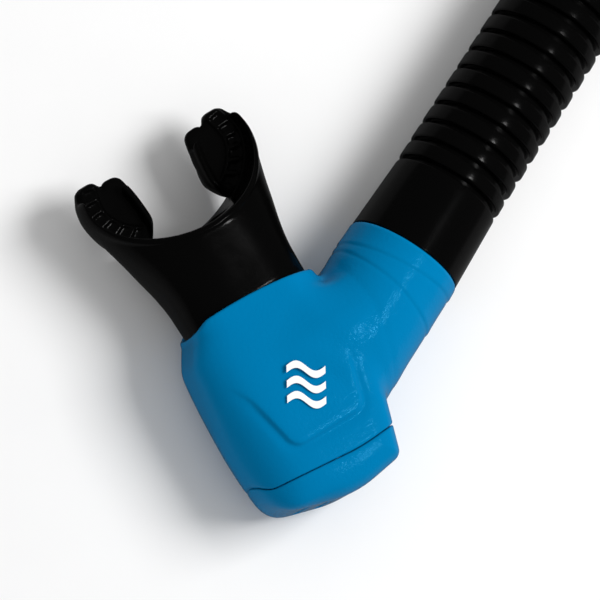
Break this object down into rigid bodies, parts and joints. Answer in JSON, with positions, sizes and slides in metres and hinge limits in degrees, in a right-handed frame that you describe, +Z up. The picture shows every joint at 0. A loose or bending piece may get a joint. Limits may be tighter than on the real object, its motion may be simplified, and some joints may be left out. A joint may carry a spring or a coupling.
{
  "type": "dry-top snorkel",
  "caption": "Snorkel with a soft mouthpiece, purge chamber, swivelling corrugated hose, rigid breathing tube, mask-strap keeper and a float-closed dry top.",
  "frame": {"origin": "where the mouthpiece axis crosses the hose axis, on the mid-plane of the chamber", "axes": "+Y along the mouthpiece, towards the mouth; the hose leaves 25 degrees above +X; +Z is up when the snorkel lies flat"},
  "size_m": [0.3984, 0.2388, 0.0483],
  "materials": {
    "soft_blue": "soft-touch satin",
    "silicone_black": "satin silicone",
    "hard_black": "satin",
    "hard_grey": "satin",
    "flap_clear": "soft silicone",
    "mark_white": "printed",
    "steel": "polished",
    "float_white": "satin"
  },
  "bodies": {
    "chamber": {"housing_shell": "soft_blue", "purge_cap": "soft_blue", "purge_seat": "hard_grey", "purge_gasket": "silicone_black", "emblem": "mark_white", "mouthpiece": "silicone_black", "mouth_spigot": "hard_grey", "mouthpiece_clamp": "hard_black"},
    "purge_valve": {"purge_flap": "flap_clear"},
    "hose_base": {"hose_spigot": "hard_grey", "swivel_seal": "silicone_black", "swivel_clip": "steel", "hose_cuff_lower": "silicone_black"},
    "ring_01": {"hose_ring_01": "silicone_black"},
    "ring_02": {"hose_ring_02": "silicone_black"},
    "ring_03": {"hose_ring_03": "silicone_black"},
    "ring_04": {"hose_ring_04": "silicone_black"},
    "ring_05": {"hose_ring_05": "silicone_black"},
    "ring_06": {"hose_ring_06": "silicone_black"},
    "ring_07": {"hose_ring_07": "silicone_black"},
    "ring_08": {"hose_ring_08": "silicone_black"},
    "ring_09": {"hose_ring_09": "silicone_black"},
    "ring_10": {"hose_ring_10": "silicone_black"},
    "ring_11": {"hose_ring_11": "silicone_black"},
    "ring_12": {"hose_ring_12": "silicone_black"},
    "ring_13": {"hose_ring_13": "silicone_black"},
    "ring_14": {"hose_ring_14": "silicone_black"},
    "hose_end": {"hose_cuff_upper": "silicone_black"},
    "tube": {"upper_tube": "hard_black", "tube_band": "soft_blue", "top_base": "hard_black", "top_seal": "silicone_black", "lever_pin": "steel", "top_cover": "soft_blue"},
    "lever": {"valve_lever": "hard_grey", "valve_disc": "silicone_black"},
    "float_body": {"float": "float_white", "link_pin": "steel"},
    "keeper_slider": {"keeper_sleeve": "silicone_black"},
    "keeper": {"keeper_ring": "soft_blue", "clip_rivet": "steel"},
    "strap_frame": {"strap_clip": "hard_black"}
  },
  "joints": [
    {"name": "purge_lift", "type": "slide", "parent": "chamber", "child": "purge_valve", "axis": [0, -1, 0], "range_m": [0, 0.0015], "stiffness_N_per_m": 60},
    {"name": "hose_swivel", "type": "hinge", "parent": "chamber", "child": "hose_base", "pos_m": [0.04532, 0.02113, 0], "axis": [0.9063, 0.4226, 0], "continuous": true},
    {"name": "hose_bend_01", "type": "hinge", "parent": "hose_base", "child": "ring_01", "pos_m": [0.0735, 0.03427, 0], "axis": [0, 0, 1], "range_deg": [-4.5, 4.5]},
    {"name": "hose_bend_02", "type": "hinge", "parent": "ring_01", "child": "ring_02", "pos_m": [0.07962, 0.03713, 0], "axis": [0, 0, 1], "range_deg": [-4.5, 4.5]},
    {"name": "hose_bend_03", "type": "hinge", "parent": "ring_02", "child": "ring_03", "pos_m": [0.08574, 0.03998, 0], "axis": [0, 0, 1], "range_deg": [-4.5, 4.5]},
    {"name": "hose_bend_04", "type": "hinge", "parent": "ring_03", "child": "ring_04", "pos_m": [0.09185, 0.04283, 0], "axis": [0, 0, 1], "range_deg": [-4.5, 4.5]},
    {"name": "hose_bend_05", "type": "hinge", "parent": "ring_04", "child": "ring_05", "pos_m": [0.09797, 0.04569, 0], "axis": [0, 0, 1], "range_deg": [-4.5, 4.5]},
    {"name": "hose_bend_06", "type": "hinge", "parent": "ring_05", "child": "ring_06", "pos_m": [0.10409, 0.04854, 0], "axis": [0, 0, 1], "range_deg": [-4.5, 4.5]},
    {"name": "hose_bend_07", "type": "hinge", "parent": "ring_06", "child": "ring_07", "pos_m": [0.11021, 0.05139, 0], "axis": [0, 0, 1], "range_deg": [-4.5, 4.5]},
    {"name": "hose_bend_08", "type": "hinge", "parent": "ring_07", "child": "ring_08", "pos_m": [0.11632, 0.05424, 0], "axis": [0, 0, 1], "range_deg": [-4.5, 4.5]},
    {"name": "hose_bend_09", "type": "hinge", "parent": "ring_08", "child": "ring_09", "pos_m": [0.12244, 0.0571, 0], "axis": [0, 0, 1], "range_deg": [-4.5, 4.5]},
    {"name": "hose_bend_10", "type": "hinge", "parent": "ring_09", "child": "ring_10", "pos_m": [0.12856, 0.05995, 0], "axis": [0, 0, 1], "range_deg": [-4.5, 4.5]},
    {"name": "hose_bend_11", "type": "hinge", "parent": "ring_10", "child": "ring_11", "pos_m": [0.13468, 0.0628, 0], "axis": [0, 0, 1], "range_deg": [-4.5, 4.5]},
    {"name": "hose_bend_12", "type": "hinge", "parent": "ring_11", "child": "ring_12", "pos_m": [0.1408, 0.06565, 0], "axis": [0, 0, 1], "range_deg": [-4.5, 4.5]},
    {"name": "hose_bend_13", "type": "hinge", "parent": "ring_12", "child": "ring_13", "pos_m": [0.14691, 0.06851, 0], "axis": [0, 0, 1], "range_deg": [-4.5, 4.5]},
    {"name": "hose_bend_14", "type": "hinge", "parent": "ring_13", "child": "ring_14", "pos_m": [0.15303, 0.07136, 0], "axis": [0, 0, 1], "range_deg": [-4.5, 4.5]},
    {"name": "hose_bend_15", "type": "hinge", "parent": "ring_14", "child": "hose_end", "pos_m": [0.15915, 0.07421, 0], "axis": [0, 0, 1], "range_deg": [-4.5, 4.5]},
    {"name": "tube_swivel", "type": "hinge", "parent": "hose_end", "child": "tube", "pos_m": [0.1722, 0.0803, 0], "axis": [0.9063, 0.4226, 0], "continuous": true},
    {"name": "float_slide", "type": "slide", "parent": "tube", "child": "float_body", "axis": [0.7071, 0.7071, 0], "range_m": [0, 0.0032]},
    {"name": "lever_close", "type": "hinge", "parent": "tube", "child": "lever", "pos_m": [0.34382, 0.17665, 0], "axis": [0, 0, 1], "range_deg": [0, 18]},
    {"name": "keeper_slide", "type": "slide", "parent": "tube", "child": "keeper_slider", "axis": [0.9063, 0.4226, 0], "range_m": [-0.02, 0.014]},
    {"name": "keeper_turn", "type": "hinge", "parent": "keeper_slider", "child": "keeper", "pos_m": [0.21208, 0.09889, 0], "axis": [0.9063, 0.4226, 0], "continuous": true},
    {"name": "strap_pivot", "type": "hinge", "parent": "keeper", "child": "strap_frame", "pos_m": [0.21208, 0.09889, 0], "axis": [0, 0, 1], "range_deg": [-90, 90]}
  ],
  "couplings": [
    {"joint": "hose_bend_02", "follows": "hose_bend_01", "ratio": 1},
    {"joint": "hose_bend_03", "follows": "hose_bend_01", "ratio": 1},
    {"joint": "hose_bend_04", "follows": "hose_bend_01", "ratio": 1},
    {"joint": "hose_bend_05", "follows": "hose_bend_01", "ratio": 1},
    {"joint": "hose_bend_06", "follows": "hose_bend_01", "ratio": 1},
    {"joint": "hose_bend_07", "follows": "hose_bend_01", "ratio": 1},
    {"joint": "hose_bend_08", "follows": "hose_bend_01", "ratio": 1},
    {"joint": "hose_bend_09", "follows": "hose_bend_01", "ratio": 1},
    {"joint": "hose_bend_10", "follows": "hose_bend_01", "ratio": 1},
    {"joint": "hose_bend_11", "follows": "hose_bend_01", "ratio": 1},
    {"joint": "hose_bend_12", "follows": "hose_bend_01", "ratio": 1},
    {"joint": "hose_bend_13", "follows": "hose_bend_01", "ratio": 1},
    {"joint": "hose_bend_14", "follows": "hose_bend_01", "ratio": 1},
    {"joint": "hose_bend_15", "follows": "hose_bend_01", "ratio": 1},
    {"joint": "lever_close", "follows": "float_slide", "rad_per_m": 96.688}
  ]
}
